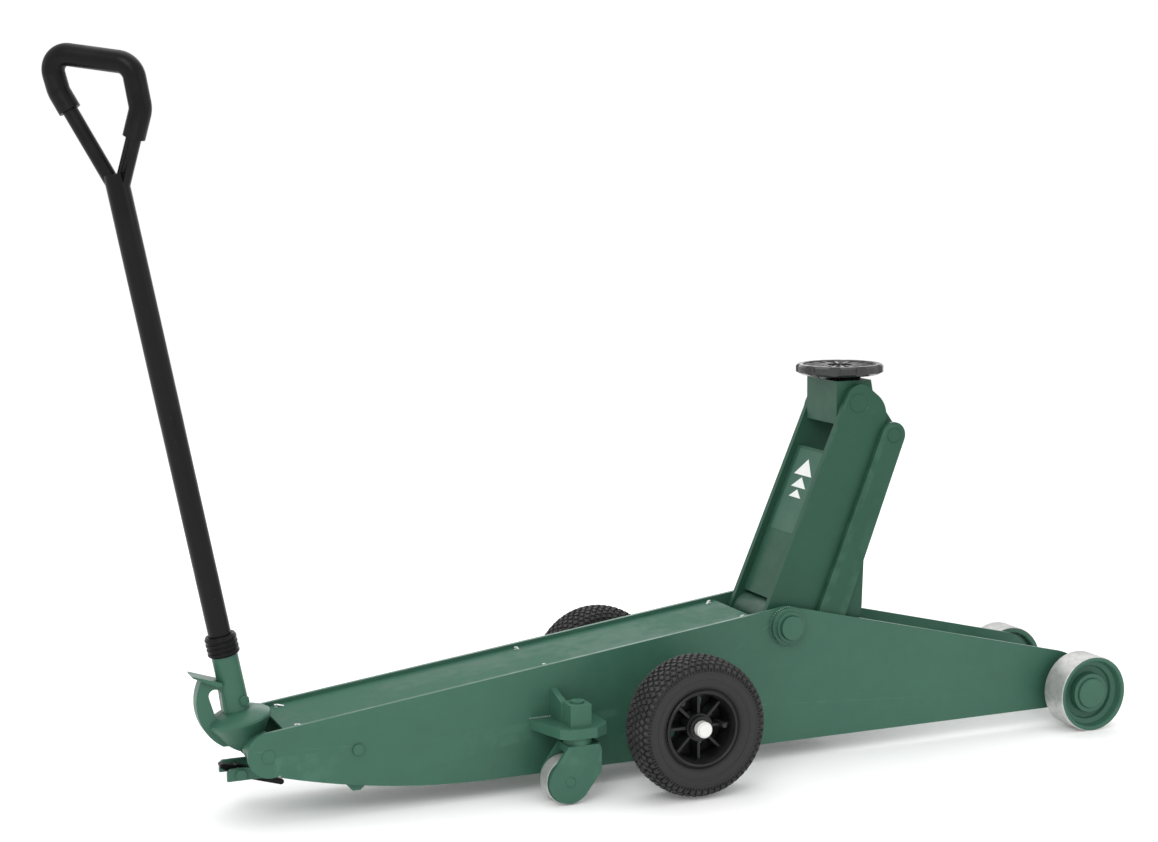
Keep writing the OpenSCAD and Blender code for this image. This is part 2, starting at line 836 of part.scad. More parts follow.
side_plate(1);  // side_plate_left
side_plate(-1);  // side_plate_right
top_cover();
cover_screws();
cover_rails();
tie_plates();
front_axle();
axle_collars();
main_shaft();
pivot_collars();
link_anchor_pins();
stub_axles();
axle_caps();
caster_bracket(1);  // caster_bracket_left
caster_bracket(-1);  // caster_bracket_right
rear_pin();
lever_bracket();
lever_bolt();
pump_block();
pump_bolts();
oil_reservoir();
lift_cylinder();
piston_rod();
rod_crosshead();
arm_plate(1);  // arm_plate_left
arm_plate(-1);  // arm_plate_right
arm_hub();
arm_cover();
arm_spreader();
crank_pin();
top_pin();
saddle_carrier();
link_top_pin();
saddle();
link(1);  // link_left
link(-1);  // link_right
front_roller(1);  // front_roller_left
front_roller(-1);  // front_roller_right
hub_cap(1);  // hub_cap_left
hub_cap(-1);  // hub_cap_right
tyre(1);  // tyre_left
tyre(-1);  // tyre_right
rim(1);  // rim_left
rim(-1);  // rim_right
caster_fork(1);  // caster_fork_left
caster_fork(-1);  // caster_fork_right
caster_axle(1);  // caster_axle_left
caster_axle(-1);  // caster_axle_right
caster_wheel(1);  // caster_wheel_left
caster_wheel(-1);  // caster_wheel_right
handle_yoke();
handle_socket();
socket_bolt();
foot_pedal();
handle_tube();
handle_collar();
handle_loop();
handle_grip();
pump_plunger();
release_lever();
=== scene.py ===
import json
import math

import bmesh
import bpy
from mathutils import Matrix, Vector


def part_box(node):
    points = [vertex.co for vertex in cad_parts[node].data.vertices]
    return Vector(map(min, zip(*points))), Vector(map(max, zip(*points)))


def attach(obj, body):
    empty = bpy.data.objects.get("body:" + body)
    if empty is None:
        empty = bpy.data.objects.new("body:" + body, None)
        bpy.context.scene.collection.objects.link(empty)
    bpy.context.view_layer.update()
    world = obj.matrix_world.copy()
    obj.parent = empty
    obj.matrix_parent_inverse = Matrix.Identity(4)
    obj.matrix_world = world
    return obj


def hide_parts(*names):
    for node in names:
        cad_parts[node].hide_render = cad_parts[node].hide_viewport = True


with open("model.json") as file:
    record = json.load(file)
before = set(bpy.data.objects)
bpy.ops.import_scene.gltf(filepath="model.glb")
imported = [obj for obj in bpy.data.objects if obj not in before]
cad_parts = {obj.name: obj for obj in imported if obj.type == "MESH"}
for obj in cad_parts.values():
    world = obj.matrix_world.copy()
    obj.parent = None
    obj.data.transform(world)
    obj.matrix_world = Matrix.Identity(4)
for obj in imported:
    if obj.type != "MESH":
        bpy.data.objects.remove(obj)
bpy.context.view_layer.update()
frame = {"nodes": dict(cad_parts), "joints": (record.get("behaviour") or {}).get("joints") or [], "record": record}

# The jack's lengths are in metres. +X points to the front rollers, +Z up, and left is +Y.
scene = bpy.context.scene
pivots = {joint["name"]: Vector(joint["pos_m"]) for joint in frame["joints"] if "pos_m" in joint}
bodyOf = {node: body for body, nodes in frame["record"]["behaviour"]["bodies"].items() for node in nodes}
sides = {"left": 1, "right": -1}


# Shader node helpers

def addNode(tree, kind, at=(0, 0), **values):
    node = tree.nodes.new(kind)
    node.location = at
    for name, value in values.items():
        setattr(node, name, value)
    return node


def noise(tree, vector, scale, detail=4.0, roughness=0.55):
    node = addNode(tree, "ShaderNodeTexNoise")
    node.inputs["Scale"].default_value = scale
    node.inputs["Detail"].default_value = detail
    node.inputs["Roughness"].default_value = roughness
    tree.links.new(vector, node.inputs["Vector"])
    return node.outputs["Fac"]


def remap(tree, value, low, high, toLow=0.0, toHigh=1.0):
    node = addNode(tree, "ShaderNodeMapRange", interpolation_type="SMOOTHSTEP")
    for name, number in (("From Min", low), ("From Max", high), ("To Min", toLow), ("To Max", toHigh)):
        node.inputs[name].default_value = number
    tree.links.new(value, node.inputs["Value"])
    return node.outputs["Result"]


def calculate(tree, operation, a, b, clamp=True):
    node = addNode(tree, "ShaderNodeMath", operation=operation, use_clamp=clamp)
    for socket, value in zip(node.inputs, (a, b)):
        if isinstance(value, (int, float)):
            socket.default_value = value
        else:
            tree.links.new(value, socket)
    return node.outputs[0]


def product(tree, a, b):
    return calculate(tree, "MULTIPLY", a, b)


def greater(tree, a, b):
    return calculate(tree, "MAXIMUM", a, b)


def mixColour(tree, factor, a, b, blend="MIX"):
    node = addNode(tree, "ShaderNodeMix", data_type="RGBA", blend_type=blend)
    for socket, value in ((node.inputs[0], factor), (node.inputs[6], a), (node.inputs[7], b)):
        if isinstance(value, (int, float)):
            socket.default_value = value
        elif isinstance(value, tuple):
            socket.default_value = (*value, 1.0)
        else:
            tree.links.new(value, socket)
    return node.outputs[2]


def stretched(tree, vector, scale):
    node = addNode(tree, "ShaderNodeMapping")
    node.inputs["Scale"].default_value = scale
    tree.links.new(vector, node.inputs["Vector"])
    return node.outputs["Vector"]


def newGroup(name, inputs, outputs):
    group = bpy.data.node_groups.new(name, "ShaderNodeTree")
    for socketName, value in inputs.items():
        socket = group.interface.new_socket(socketName, in_out="INPUT", socket_type="NodeSocketFloat")
        socket.default_value = value
    for socketName in outputs:
        group.interface.new_socket(socketName, in_out="OUTPUT", socket_type="NodeSocketFloat")
    start = addNode(group, "NodeGroupInput", (-900, 0))
    end = addNode(group, "NodeGroupOutput", (900, 0))
    place = addNode(group, "ShaderNodeTexCoord", (-900, 300))
    return group, start.outputs, end.inputs, place.outputs


def buildGroups():
    # Rub and painted highlight: corners are lightened where paint is rubbed thin, and as a painted highlight line
    # along the edges. It is widest where the noise is high.
    group, given, out, place = newGroup("edgeRubAndHighlight", {"Amount": 0.5, "Scale": 30.0}, ["Rub"])
    geometry = addNode(group, "ShaderNodeNewGeometry")
    corner = remap(group, geometry.outputs["Pointiness"], 0.53, 0.62)
    patches = addNode(group, "ShaderNodeTexNoise")
    patches.inputs["Detail"].default_value = 5.0
    group.links.new(place["Object"], patches.inputs["Vector"])
    group.links.new(given["Scale"], patches.inputs["Scale"])
    broken = remap(group, patches.outputs["Fac"], 0.38, 0.62)
    group.links.new(product(group, product(group, corner, broken), given["Amount"]), out["Rub"])

    # Chips: small scattered nicks down to bare metal
    group, given, out, place = newGroup("chips", {"Amount": 0.5}, ["Chips"])
    fine = noise(group, place["Object"], 160.0, 3.0)
    where = noise(group, place["Object"], 9.0, 3.0)
    spots = product(group, remap(group, fine, 0.68, 0.71), remap(group, where, 0.5, 0.66))
    group.links.new(product(group, spots, given["Amount"]), out["Chips"])

    # Dust: settles on what faces up, in soft patches
    group, given, out, place = newGroup("dust", {"Amount": 0.3}, ["Dust"])
    split = addNode(group, "ShaderNodeSeparateXYZ")
    group.links.new(place["Normal"], split.inputs[0])
    upward = remap(group, split.outputs["Z"], 0.2, 1.0)
    patch = remap(group, noise(group, place["Object"], 14.0, 6.0, 0.65), 0.35, 0.75)
    group.links.new(product(group, product(group, upward, patch), given["Amount"]), out["Dust"])

    # Smudge: broad, slow change of tone, with finer handling marks on it
    group, given, out, place = newGroup("smudge", {"Strength": 0.5}, ["Smudge"])
    broad = remap(group, noise(group, place["Object"], 5.0, 3.0), 0.3, 0.7)
    fine = remap(group, noise(group, place["Object"], 38.0, 6.0, 0.65), 0.3, 0.7)
    both = calculate(group, "ADD", product(group, broad, 0.6), product(group, fine, 0.4))
    group.links.new(product(group, both, given["Strength"]), out["Smudge"])

    # Scratches: thin streaks in two directions
    group, given, out, place = newGroup("scratches", {"Amount": 0.5}, ["Scratches"])
    alongX = stretched(group, place["Object"], (6, 220, 220))
    alongZ = stretched(group, place["Object"], (190, 190, 9))
    long = remap(group, noise(group, alongX, 1.0, 2.0), 0.66, 0.7)
    cross = remap(group, noise(group, alongZ, 1.0, 2.0), 0.68, 0.71)
    area = remap(group, noise(group, place["Object"], 6.0, 2.0), 0.48, 0.62)
    lines = product(group, greater(group, long, cross), area)
    group.links.new(product(group, lines, given["Amount"]), out["Scratches"])


def useGroup(tree, name, output, **values):
    node = addNode(tree, "ShaderNodeGroup", node_tree=bpy.data.node_groups[name])
    for socket, value in values.items():
        node.inputs[socket].default_value = value
    return node.outputs[output]


def newMaterial(name):
    material = bpy.data.materials.new(name)
    material.use_nodes = True
    tree = material.node_tree
    tree.nodes.clear()
    shader = addNode(tree, "ShaderNodeBsdfPrincipled", (600, 0))
    output = addNode(tree, "ShaderNodeOutputMaterial", (900, 0))
    tree.links.new(shader.outputs[0], output.inputs[0])
    place = addNode(tree, "ShaderNodeTexCoord", (-900, 0))
    return material, tree, shader, place.outputs["Object"]


def bump(tree, shader, height, strength, distance):
    node = addNode(tree, "ShaderNodeBump")
    node.inputs["Strength"].default_value = strength
    node.inputs["Distance"].default_value = distance
    tree.links.new(height, node.inputs["Height"])
    tree.links.new(node.outputs[0], shader.inputs["Normal"])


# Materials

bareMetal = (0.20, 0.185, 0.17)
paintDust = (0.38, 0.37, 0.34)
softDust = (0.23, 0.22, 0.20)
rust = (0.16, 0.075, 0.04)

# gloss is the roughness of the clean surface, and shine how strongly it mirrors.
# The rub amount sets how far corners lighten: paint rubbed thin, and a painted highlight along the edges.
paintLook = {
    "frameGreen": {"colour": (0.040, 0.118, 0.080), "gloss": 0.38, "rub": 0.30, "chips": 0.22, "dust": 0.0,
                   "shine": 0.24},
    "coverGreen": {"colour": (0.036, 0.112, 0.075), "gloss": 0.50, "rub": 0.30, "chips": 0.12, "dust": 0.0,
                   "shine": 0.07},
    # The arm's green is the frame's paint made darker: painted shade for the arm's shaded sides.
    "armGreen": {"colour": (0.023, 0.078, 0.050), "gloss": 0.40, "rub": 0.32, "chips": 0.2, "dust": 0.0,
                 "shine": 0.18},
    "weldGreen": {"colour": (0.042, 0.124, 0.085), "gloss": 0.12, "rub": 0.2, "chips": 0.1, "dust": 0.0,
                  "shine": 0.9},
    # The inner parts' green is made darker as painted shade for the pocket inside the frame. It also has some
    # dust.
    "unitGreen": {"colour": (0.022, 0.070, 0.048), "gloss": 0.46, "rub": 0.3, "chips": 0.2, "dust": 0.12,
                  "shine": 0.32},
    "tubeBlack": {"colour": (0.0045, 0.0045, 0.005), "gloss": 0.28, "rub": 0.22, "chips": 0.1, "dust": 0.0,
                  "shine": 0.16},
}


def makePaint(name):
    look = paintLook[name]
    material, tree, shader, place = newMaterial(name)
    base = look["colour"]
    deep = tuple(c * 0.93 for c in base)
    light = tuple(c * 1.07 + 0.001 for c in base)
    rubbedAndHighlit = tuple(c * 1.5 + 0.02 for c in base)
    smudge = useGroup(tree, "smudge", "Smudge", Strength=1.0)
    rub = useGroup(tree, "edgeRubAndHighlight", "Rub", Amount=look["rub"], Scale=34.0)
    chips = useGroup(tree, "chips", "Chips", Amount=look["chips"])
    scratch = useGroup(tree, "scratches", "Scratches", Amount=0.05)
    dust = useGroup(tree, "dust", "Dust", Amount=look["dust"])
    colour = mixColour(tree, smudge, deep, light)
    # Corners take the lighter tone: paint rubbed thin, and a painted highlight along the edges. Scratches add to
    # it.
    colour = mixColour(tree, greater(tree, rub, scratch), colour, rubbedAndHighlit)
    colour = mixColour(tree, chips, colour, bareMetal)
    colour = mixColour(tree, dust, colour, paintDust)
    tree.links.new(colour, shader.inputs["Base Color"])
    rough = remap(tree, smudge, 0.2, 0.8, look["gloss"] - 0.06, look["gloss"] + 0.1)
    dulled = calculate(tree, "ADD", rough, product(tree, dust, 0.5))
    tree.links.new(dulled, shader.inputs["Roughness"])
    tree.links.new(product(tree, chips, 0.7), shader.inputs["Metallic"])
    shader.inputs["Specular IOR Level"].default_value = look["shine"]
    peel = product(tree, noise(tree, place, 420.0, 2.0), 0.35)
    height = calculate(tree, "SUBTRACT", peel, product(tree, chips, 0.6), False)
    bump(tree, shader, height, 0.35, 0.0004)
    return material


steelLook = {
    "bareSteel": {"colour": (0.42, 0.42, 0.41), "dark": (0.22, 0.22, 0.215), "rust": 0.06, "gloss": 0.34,
                  "metal": 1.0},
    "rollerTread": {"colour": (0.66, 0.66, 0.645), "dark": (0.36, 0.36, 0.355), "rust": 0.08, "gloss": 0.46,
                    "metal": 0.55},
    "zinc": {"colour": (0.86, 0.87, 0.88), "dark": (0.62, 0.63, 0.64), "rust": 0.0, "gloss": 0.26,
             "metal": 0.6},
    "groundRod": {"colour": (0.56, 0.56, 0.57), "dark": (0.40, 0.40, 0.41), "rust": 0.0, "gloss": 0.16,
                  "metal": 1.0},
}


def makeSteel(name):
    look = steelLook[name]
    material, tree, shader, place = newMaterial(name)
    smudge = useGroup(tree, "smudge", "Smudge", Strength=1.0)
    scratch = useGroup(tree, "scratches", "Scratches", Amount=0.7)
    chips = useGroup(tree, "chips", "Chips", Amount=1.0)
    pits = remap(tree, noise(tree, place, 90.0, 6.0, 0.7), 0.5, 0.72)
    colour = mixColour(tree, smudge, look["dark"], look["colour"])
    colour = mixColour(tree, pits, colour, look["dark"])
    colour = mixColour(tree, scratch, colour, tuple(min(1.0, c * 1.5) for c in look["colour"]))
    colour = mixColour(tree, product(tree, chips, look["rust"]), colour, rust)
    tree.links.new(colour, shader.inputs["Base Color"])
    shader.inputs["Metallic"].default_value = look["metal"]
    rough = remap(tree, smudge, 0.1, 0.9, look["gloss"] + 0.14, look["gloss"] - 0.05)
    tree.links.new(rough, shader.inputs["Roughness"])
    grain = noise(tree, stretched(tree, place, (900, 60, 900)), 1.0, 3.0)
    height = calculate(tree, "SUBTRACT", product(tree, grain, 0.3), pits, False)
    bump(tree, shader, height, 0.3, 0.0003)
    return material


softLook = {
    # The second colour is a lighter tone for random smudges, specks and wear, and a painted highlight along the
    # edges.
    "tyreRubber": {"colour": (0.016, 0.016, 0.017), "worn": (0.038, 0.038, 0.037), "rough": 0.62,
                   "grain": 700.0, "depth": 0.00025, "dust": 0.03, "metal": 0.0, "shine": 0.35},
    "gripRubber": {"colour": (0.004, 0.004, 0.0045), "worn": (0.009, 0.009, 0.0095), "rough": 0.38,
                   "grain": 1100.0, "depth": 0.0002, "dust": 0.0, "metal": 0.0, "shine": 0.14},
    "castBlack": {"colour": (0.012, 0.012, 0.0125), "worn": (0.085, 0.085, 0.086), "rough": 0.26,
                  "grain": 300.0, "depth": 0.0009, "dust": 0.03, "metal": 0.4, "shine": 0.7},
    "rimPlastic": {"colour": (0.006, 0.006, 0.0065), "worn": (0.014, 0.014, 0.0145), "rough": 0.32,
                   "grain": 900.0, "depth": 0.00012, "dust": 0.02, "metal": 0.0, "shine": 0.35},
    "capWhite": {"colour": (0.78, 0.78, 0.76), "worn": (0.62, 0.61, 0.58), "rough": 0.3,
                 "grain": 500.0, "depth": 0.00005, "dust": 0.1, "metal": 0.0, "shine": 0.35},
    "signWhite": {"colour": (0.80, 0.81, 0.80), "worn": (0.62, 0.66, 0.63), "rough": 0.45,
                  "grain": 800.0, "depth": 0.00005, "dust": 0.0, "metal": 0.0, "shine": 0.35},
    "signPanel": {"colour": (0.038, 0.112, 0.076), "worn": (0.030, 0.096, 0.064), "rough": 0.5,
                  "grain": 600.0, "depth": 0.00005, "dust": 0.0, "metal": 0.0, "shine": 0.35},
}


def makeSoft(name):
    look = softLook[name]
    material, tree, shader, place = newMaterial(name)
    smudge = useGroup(tree, "smudge", "Smudge", Strength=1.0)
    rub = useGroup(tree, "edgeRubAndHighlight", "Rub", Amount=0.8, Scale=26.0)
    dust = useGroup(tree, "dust", "Dust", Amount=look["dust"])
    speck = remap(tree, noise(tree, place, 240.0, 5.0, 0.7), 0.45, 0.8)
    # Edges take the lighter tone: rubbed wear, and a painted highlight along the edges.
    marks = greater(tree, rub, product(tree, speck, 0.4))
    mask = greater(tree, product(tree, smudge, 0.45), marks)
    colour = mixColour(tree, mask, look["colour"], look["worn"])
    colour = mixColour(tree, dust, colour, softDust)
    tree.links.new(colour, shader.inputs["Base Color"])
    shader.inputs["Metallic"].default_value = look["metal"]
    rough = remap(tree, smudge, 0.1, 0.9, look["rough"] - 0.07, look["rough"] + 0.12)
    tree.links.new(rough, shader.inputs["Roughness"])
    shader.inputs["Specular IOR Level"].default_value = look["shine"]
    bump(tree, shader, noise(tree, place, look["grain"], 3.0), 0.5, look["depth"])
    return material


buildGroups()
looks = {name: makePaint(name) for name in paintLook}
looks.update({name: makeSteel(name) for name in steelLook})
looks.update({name: makeSoft(name) for name in softLook})
print("materials", len(looks))


# Finished copies of the frame's own parts

sharpAngle = math.radians(32)  # corners sharper than this are rounded and shaded as edges


def addPiece(name, shape, body, replaced, look, bevel=0.0):
    # look is one name, or a list of names when the faces already have their material numbers.
    mesh = bpy.data.meshes.new(name)
    shape.to_mesh(mesh)
    shape.free()
    for lookName in [look] if isinstance(look, str) else look:
        mesh.materials.append(looks[lookName])
    mesh.shade_smooth()
    mesh.set_sharp_from_angle(angle=sharpAngle)
    piece = bpy.data.objects.new(name, mesh)
    scene.collection.objects.link(piece)
    if bevel:
        rounding = piece.modifiers.new("rounding", "BEVEL")
        rounding.width = bevel
        rounding.segments = 2
        rounding.limit_method = "ANGLE"
        rounding.angle_limit = sharpAngle
        rounding.miter_outer = "MITER_ARC"
        weighted = piece.modifiers.new("evenShading", "WEIGHTED_NORMAL")
        weighted.keep_sharp = True
    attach(piece, body)
    if replaced:
        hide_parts(*replaced)


def cleanCopy(node):
    shape = bmesh.new()
    shape.from_mesh(frame["nodes"][node].data)
    bmesh.ops.remove_doubles(shape, verts=shape.verts, dist=2e-6)
    bmesh.ops.dissolve_limit(shape, angle_limit=math.radians(0.4), verts=shape.verts, edges=shape.edges)
    return shape


def finish(node, look, bevel):
    addPiece(node + "Finished", cleanCopy(node), bodyOf[node], [node], look, bevel)


# Which finish each part has, and how far its corners are rounded
finishes = {
    "frameGreen": {
        0.0012: ["side_plate_left", "side_plate_right", "cover_rails", "tie_plates", "pivot_collars",
                 "main_shaft", "axle_collars", "rear_pin", "caster_bracket_left", "caster_bracket_right",
                 "pump_bolts", "lever_bracket", "handle_yoke", "handle_socket", "hub_cap_left", "hub_cap_right",
                 "caster_fork_left", "caster_fork_right", "caster_axle_left", "caster_axle_right",
                 "lever_bolt", "socket_bolt"],
        0.0035: ["foot_pedal"],
    },
    "coverGreen": {0.0006: ["top_cover"]},
    "armGreen": {0.0014: ["arm_plate_left", "arm_plate_right", "link_left", "link_right", "saddle_carrier",
                          "top_pin", "link_top_pin"],
                 0.0008: ["arm_cover"]},
    "unitGreen": {0.0012: ["pump_block", "oil_reservoir", "lift_cylinder", "arm_hub", "arm_spreader"]},
    "bareSteel": {0.0008: ["front_axle", "link_anchor_pins", "stub_axles", "rod_crosshead", "crank_pin",
                           "pump_plunger"]},
    "groundRod": {0.0008: ["piston_rod"]},
    "tubeBlack": {0.0008: ["handle_tube", "release_lever"], 0.0: ["handle_loop"]},
    "gripRubber": {0.0012: ["handle_collar"], 0.0015: ["handle_grip"]},
    "castBlack": {0.0012: ["saddle"]},
    "rimPlastic": {0.0012: ["rim_left", "rim_right"]},
    "capWhite": {0.0008: ["axle_caps"]},
}
for look, widths in finishes.items():
    for width, nodes in widths.items():
        for node in nodes:
            finish(node, look, width)
print("finished copies", sum(len(nodes) for widths in finishes.values() for nodes in widths.values()))


# Rollers and caster wheels: bare treads on painted discs

treadSkin = 0.0012  # faces this close to the outer radius are bare


def treadedWheel(node):
    low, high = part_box(node)
    centre = (low + high) / 2
    radius = (high.z - low.z) / 2
    shape = cleanCopy(node)
    for face in shape.faces:
        middle = face.calc_center_median() - centre
        face.material_index = 1 if math.hypot(middle.x, middle.z) > radius - treadSkin else 0
    addPiece(node + "Finished", shape, bodyOf[node], [node], ["frameGreen", "rollerTread"],
             0.0007)


for side in sides:
    treadedWheel("front_roller_" + side)
    treadedWheel("caster_wheel_" + side)
print("treaded wheels")


# Pneumatic tyres

tyre = {
    "beadRadius": 0.0665, "beadHalfWidth": 0.029, "carcassDrop": 0.0042, "wallInset": 0.0012, "roundness": 2.5,
    "profilePoints": 26, "profileFrom": -52, "profileSweep": 284, "steps": 120,
    "ringRadii": [0.104, 0.090], "ringSize": 0.0011, "ringSteps": 96,
    "blocksRound": 58, "blockHeight": 0.0040, "blockWidth": 0.0092, "edgeBlockWidth": 0.0085, "blockBevel": 0.0007,
    "ribLength": 0.0022, "ribWidth": 0.012, "ribHeight": 0.0016, "ribInset": 0.0022, "ribLevel": 0.52,
    "ribLean": 76,
}


def spinAbout(shape, geometry, centre, steps):
    bmesh.ops.spin(shape, geom=geometry, cent=centre, axis=(0, 1, 0), angle=math.tau, steps=steps,
                   use_merge=True, use_duplicate=False)
    bmesh.ops.remove_doubles(shape, verts=shape.verts, dist=1e-6)
    bmesh.ops.recalc_face_normals(shape, faces=shape.faces)


def closedProfile(shape, points):
    made = [shape.verts.new(point) for point in points]
    for i, vertex in enumerate(made):
        shape.edges.new((vertex, made[(i + 1) % len(made)]))
    return made


def tyreBlock(length, width, height):
    # The block is narrower at its top, and leans a little along the rolling direction.
    block = bmesh.new()
    bmesh.ops.create_cube(block, size=1.0)
    for vertex in block.verts:
        taper = 0.8 if vertex.co.z > 0 else 1.0
        skew = 0.22 * vertex.co.y
        vertex.co = Vector(((vertex.co.x * taper + skew) * length, vertex.co.y * taper * width,
                            vertex.co.z * height))
    top = [edge for edge in block.edges if all(v.co.z > 0 for v in edge.verts)]
    bmesh.ops.bevel(block, geom=top, offset=tyre["blockBevel"], affect="EDGES", segments=1, profile=0.5,
                    material=-1)
    mesh = bpy.data.meshes.new("block")
    block.to_mesh(mesh)
    block.free()
    return mesh


def stamp(shape, mesh, place):
    mesh.transform(place)
    shape.from_mesh(mesh)
    mesh.transform(place.inverted())


def wallAt(size, fromMiddle):
    # How wide the carcass is at a level between its middle (0) and its crown (1)
    flat = (1 - abs(fromMiddle) ** tyre["roundness"]) ** (1 / tyre["roundness"])
    return flat * (size["half"] - tyre["wallInset"])


def addCarcass(shape, size):
    centre = size["centre"]
    power = 2 / tyre["roundness"]
    points = []
    for i in range(tyre["profilePoints"] + 1):
        turn = math.radians(tyre["profileFrom"] + tyre["profileSweep"] * i / tyre["profilePoints"])
        across = math.copysign(abs(math.cos(turn)) ** power, math.cos(turn)) * (size["half"] - tyre["wallInset"])
        up = math.copysign(abs(math.sin(turn)) ** power, math.sin(turn)) * size["radial"]
        points.append(centre + Vector((0, across, size["middle"] + up)))
    points.append(centre + Vector((0, -tyre["beadHalfWidth"], tyre["beadRadius"])))
    points.append(centre + Vector((0, tyre["beadHalfWidth"], tyre["beadRadius"])))
    made = closedProfile(shape, points)
    spinAbout(shape, made + shape.edges[:], centre, tyre["steps"])


def addRings(shape, size):
    # Raised rings on both walls
    thick = tyre["ringSize"]
    for ring in tyre["ringRadii"]:
        wall = wallAt(size, (ring - size["middle"]) / size["radial"])
        for way in (1, -1):
            cord = bmesh.new()
            around = [size["centre"] + Vector((0, way * wall + thick * math.cos(turn),
                                               ring + thick * 1.6 * math.sin(turn)))
                      for turn in (math.tau * k / 8 for k in range(8))]
            made = closedProfile(cord, around)
            spinAbout(cord, made + cord.edges[:], size["centre"], tyre["ringSteps"])
            mesh = bpy.data.meshes.new("ring")
            cord.to_mesh(mesh)
            cord.free()
            shape.from_mesh(mesh)
            bpy.data.meshes.remove(mesh)


def addTread(shape, size):
    # Each row: place across the tyre, shift round it, length in pitches, width and slant of its blocks
    pitch = math.tau * size["outer"] / tyre["blocksRound"]
    wide = tyre["blockWidth"]
    rows = [(0.0, 0.0, 0.66, wide, 0.6)]
    for way in (1, -1):
        rows += [(way * 0.25, 0.5, 0.66, wide, way * 0.6), (way * 0.49, 0.0, 0.66, wide, -way * 0.6),
                 (way * 0.70, 0.5, 0.62, wide, way * 0.5), (way * 0.86, 0.0, 0.58, tyre["edgeBlockWidth"], 0.0)]
    for across, shift, long, width, slant in rows:
        block = tyreBlock(pitch * long, width, tyre["blockHeight"] * 2)
        up = (1 - abs(across) ** tyre["roundness"]) ** (1 / tyre["roundness"])
        lean = -math.atan2(across ** 3 * size["radial"] * 1.5, size["half"] * 0.55)
        for k in range(tyre["blocksRound"]):
            turn = math.tau * (k + shift) / tyre["blocksRound"]
            stamp(shape, block, Matrix.Translation(size["centre"]) @ Matrix.Rotation(turn, 4, "Y")
                  @ Matrix.Translation((0, across * size["half"], size["middle"] + size["radial"] * up))
                  @ Matrix.Rotation(lean, 4, "X") @ Matrix.Rotation(slant, 4, "Z"))
        bpy.data.meshes.remove(block)


def addRibs(shape, size):
    # Fine ribs on the shoulders, two for each tread block
    rib = tyreBlock(tyre["ribLength"], tyre["ribWidth"], tyre["ribHeight"])
    count = tyre["blocksRound"] * 2
    for way in (1, -1):
        for k in range(count):
            turn = math.tau * (k + 0.5) / count
            stamp(shape, rib, Matrix.Translation(size["centre"]) @ Matrix.Rotation(turn, 4, "Y")
                  @ Matrix.Translation((0, way * (size["half"] - tyre["ribInset"]),
                                        size["middle"] + size["radial"] * tyre["ribLevel"]))
                  @ Matrix.Rotation(-way * math.radians(tyre["ribLean"]), 4, "X"))
    bpy.data.meshes.remove(rib)


def makeTyre(side):
    node = "tyre_" + side
    low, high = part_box(node)
    outer = (high.z - low.z) / 2
    crown = outer - tyre["carcassDrop"]
    middle = (crown + tyre["beadRadius"]) / 2
    size = {"centre": (low + high) / 2, "outer": outer, "half": (high.y - low.y) / 2, "middle": middle,
            "radial": crown - middle}
    shape = bmesh.new()
    addCarcass(shape, size)
    addRings(shape, size)
    addTread(shape, size)
    addRibs(shape, size)
    addPiece(node + "Tread", shape, bodyOf[node], [node], "tyreRubber")


# The stem and its cap: radius, start along the wheel's axis and length
valve = {"fromAxle": 0.046, "outward": 0.012, "parts": [(0.0042, -0.024, 0.030), (0.0052, 0.004, 0.010)],
         "taper": 0.86}


def makeValve(side):
    low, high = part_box("rim_" + side)
    out = sides[side]
    at = (low + high) / 2 + Vector((valve["fromAxle"], out * valve["outward"], 0))
    facing = Matrix.Rotation(math.radians(-90 * out), 4, "X")
    shape = bmesh.new()
    for radius, start, length in valve["parts"]:
        made = bmesh.ops.create_cone(shape, cap_ends=True, segments=20, radius1=radius,
                                     radius2=radius * valve["taper"], depth=length)["verts"]
        middle = Matrix.Translation(at + Vector((0, out * (start + length / 2), 0)))
        bmesh.ops.transform(shape, verts=made, matrix=middle @ facing)
    addPiece("valve_" + side, shape, bodyOf["rim_" + side], [], "tyreRubber", 0.0006)


for side in sides:
    makeTyre(side)
    makeValve(side)
print("tyres and valves")


# Cover screws: domed heads with hexagon sockets

screw = {"radius": 0.0084, "topShare": 0.62, "height": 0.0050, "rim": 0.0008, "socket": 0.0034, "depth": 0.0024,
         "sides": 24}


def looseParts(node):
    # The corner points of each separate solid in a node
    shape = bmesh.new()
    shape.from_mesh(frame["nodes"][node].data)
    bmesh.ops.remove_doubles(shape, verts=shape.verts, dist=2e-6)
    parts = []
    left = set(shape.verts)
    while left:
        grown = {left.pop()}
        front = list(grown)
        while front:
            vertex = front.pop()
            for edge in vertex.link_edges:
                other = edge.other_vert(vertex)
                if other in left:
                    left.discard(other)
                    grown.add(other)
                    front.append(other)
        parts.append([vertex.co.copy() for vertex in grown])
    shape.free()
    return sorted(parts, key=lambda points: (round(points[0].x, 1), points[0].y))


